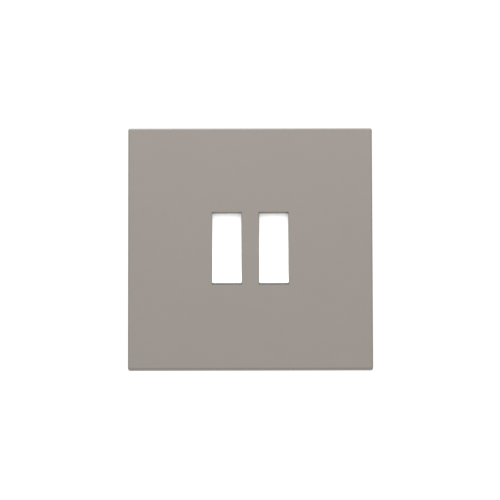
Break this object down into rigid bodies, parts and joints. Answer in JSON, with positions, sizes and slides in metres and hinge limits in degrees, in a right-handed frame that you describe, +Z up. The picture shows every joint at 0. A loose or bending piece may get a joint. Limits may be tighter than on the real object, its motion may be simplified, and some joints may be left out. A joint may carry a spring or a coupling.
{
  "type": "rocker wall switch",
  "caption": "Square flat wall switch with side-by-side upright rockers in a clip-held cover plate, on a steel frame with see-saw contacts, screw terminals and wall-box fixings behind.",
  "frame": {"origin": "centre of the switch on the wall plane", "axes": "+Z up, -Y out of the wall towards the user, +Y into the wall box, +X to the user's right"},
  "size_m": [0.086, 0.0272, 0.086],
  "materials": {
    "greige_plate": "fine satin-matt moulded polycarbonate",
    "white_rocker": "smooth semi-gloss white moulding",
    "pale_housing": "matt moulded thermoplastic",
    "dark_housing": "matt moulded thermoset",
    "nylon": "natural nylon",
    "black_foam": "closed-cell foam",
    "zinc_steel": "zinc-plated pressed sheet",
    "screw_steel": "zinc-plated screw",
    "spring_steel": "drawn spring steel",
    "terminal_brass": "bright machined brass",
    "copper_alloy": "rolled copper alloy strip",
    "contact_silver": "silver contact rivet"
  },
  "bodies": {
    "switch_frame": {"carrier_frame": "zinc_steel", "wall_gasket": "black_foam", "plate_clip_upper_left": "spring_steel", "plate_clip_upper_right": "spring_steel", "plate_clip_lower_left": "spring_steel", "plate_clip_lower_right": "spring_steel", "fixing_screw_left": "screw_steel", "fixing_screw_right": "screw_steel", "mechanism_cover": "pale_housing", "mechanism_base": "dark_housing", "case_screw_upper_left": "screw_steel", "case_screw_upper_right": "screw_steel", "case_screw_lower_left": "screw_steel", "case_screw_lower_right": "screw_steel", "fixed_tip_upper_left": "contact_silver", "fixed_tip_lower_left": "contact_silver", "common_terminal_left": "terminal_brass", "upper_terminal_left": "terminal_brass", "lower_terminal_left": "terminal_brass", "fixed_tip_upper_right": "contact_silver", "fixed_tip_lower_right": "contact_silver", "common_terminal_right": "terminal_brass", "upper_terminal_right": "terminal_brass", "lower_terminal_right": "terminal_brass", "earth_terminal": "terminal_brass"},
    "cover_plate": {"face_plate": "greige_plate"},
    "rocker_left": {"rocker_left": "white_rocker", "plunger_spring_left": "spring_steel"},
    "plunger_left": {"plunger_left": "nylon"},
    "contact_left": {"contact_blade_left": "copper_alloy", "moving_tip_upper_left": "contact_silver", "moving_tip_lower_left": "contact_silver"},
    "common_screw_left": {"common_screw_left": "screw_steel"},
    "upper_screw_left": {"upper_screw_left": "screw_steel"},
    "lower_screw_left": {"lower_screw_left": "screw_steel"},
    "rocker_right": {"rocker_right": "white_rocker", "plunger_spring_right": "spring_steel"},
    "plunger_right": {"plunger_right": "nylon"},
    "contact_right": {"contact_blade_right": "copper_alloy", "moving_tip_upper_right": "contact_silver", "moving_tip_lower_right": "contact_silver"},
    "common_screw_right": {"common_screw_right": "screw_steel"},
    "upper_screw_right": {"upper_screw_right": "screw_steel"},
    "lower_screw_right": {"lower_screw_right": "screw_steel"},
    "earth_screw": {"earth_screw": "screw_steel"}
  },
  "joints": [
    {"name": "face_plate_release", "type": "slide", "parent": "switch_frame", "child": "cover_plate", "axis": [0, -1, 0], "range_m": [0, 0.02]},
    {"name": "rocker_left_tilt", "type": "hinge", "parent": "switch_frame", "child": "rocker_left", "pos_m": [-0.00825, 0.0005, 0], "axis": [1, 0, 0], "range_deg": [0, 12]},
    {"name": "contact_left_seesaw", "type": "hinge", "parent": "switch_frame", "child": "contact_left", "pos_m": [-0.00825, 0.0128, 0], "axis": [1, 0, 0], "range_deg": [-20, 0]},
    {"name": "plunger_left_travel", "type": "slide", "parent": "rocker_left", "child": "plunger_left", "axis": [0, 0.9945, -0.1045], "range_m": [0, 0.00024], "stiffness_N_per_m": 900, "deforming": ["plunger_spring_left"]},
    {"name": "common_screw_left_travel", "type": "slide", "parent": "switch_frame", "child": "common_screw_left", "axis": [0, 1, 0], "range_m": [0, 0.003]},
    {"name": "upper_screw_left_travel", "type": "slide", "parent": "switch_frame", "child": "upper_screw_left", "axis": [0, 1, 0], "range_m": [0, 0.003]},
    {"name": "lower_screw_left_travel", "type": "slide", "parent": "switch_frame", "child": "lower_screw_left", "axis": [0, 1, 0], "range_m": [0, 0.003]},
    {"name": "rocker_right_tilt", "type": "hinge", "parent": "switch_frame", "child": "rocker_right", "pos_m": [0.00825, 0.0005, 0], "axis": [1, 0, 0], "range_deg": [0, 12]},
    {"name": "contact_right_seesaw", "type": "hinge", "parent": "switch_frame", "child": "contact_right", "pos_m": [0.00825, 0.0128, 0], "axis": [1, 0, 0], "range_deg": [-20, 0]},
    {"name": "plunger_right_travel", "type": "slide", "parent": "rocker_right", "child": "plunger_right", "axis": [0, 0.9945, -0.1045], "range_m": [0, 0.00024], "stiffness_N_per_m": 900, "deforming": ["plunger_spring_right"]},
    {"name": "common_screw_right_travel", "type": "slide", "parent": "switch_frame", "child": "common_screw_right", "axis": [0, 1, 0], "range_m": [0, 0.003]},
    {"name": "upper_screw_right_travel", "type": "slide", "parent": "switch_frame", "child": "upper_screw_right", "axis": [0, 1, 0], "range_m": [0, 0.003]},
    {"name": "lower_screw_right_travel", "type": "slide", "parent": "switch_frame", "child": "lower_screw_right", "axis": [0, 1, 0], "range_m": [0, 0.003]},
    {"name": "earth_screw_travel", "type": "slide", "parent": "switch_frame", "child": "earth_screw", "axis": [0, 1, 0], "range_m": [0, 0.0025]}
  ],
  "couplings": [
    {"joint": "contact_left_seesaw", "follows": "rocker_left_tilt", "ratio": -1.6667},
    {"joint": "contact_right_seesaw", "follows": "rocker_right_tilt", "ratio": -1.6667}
  ]
}
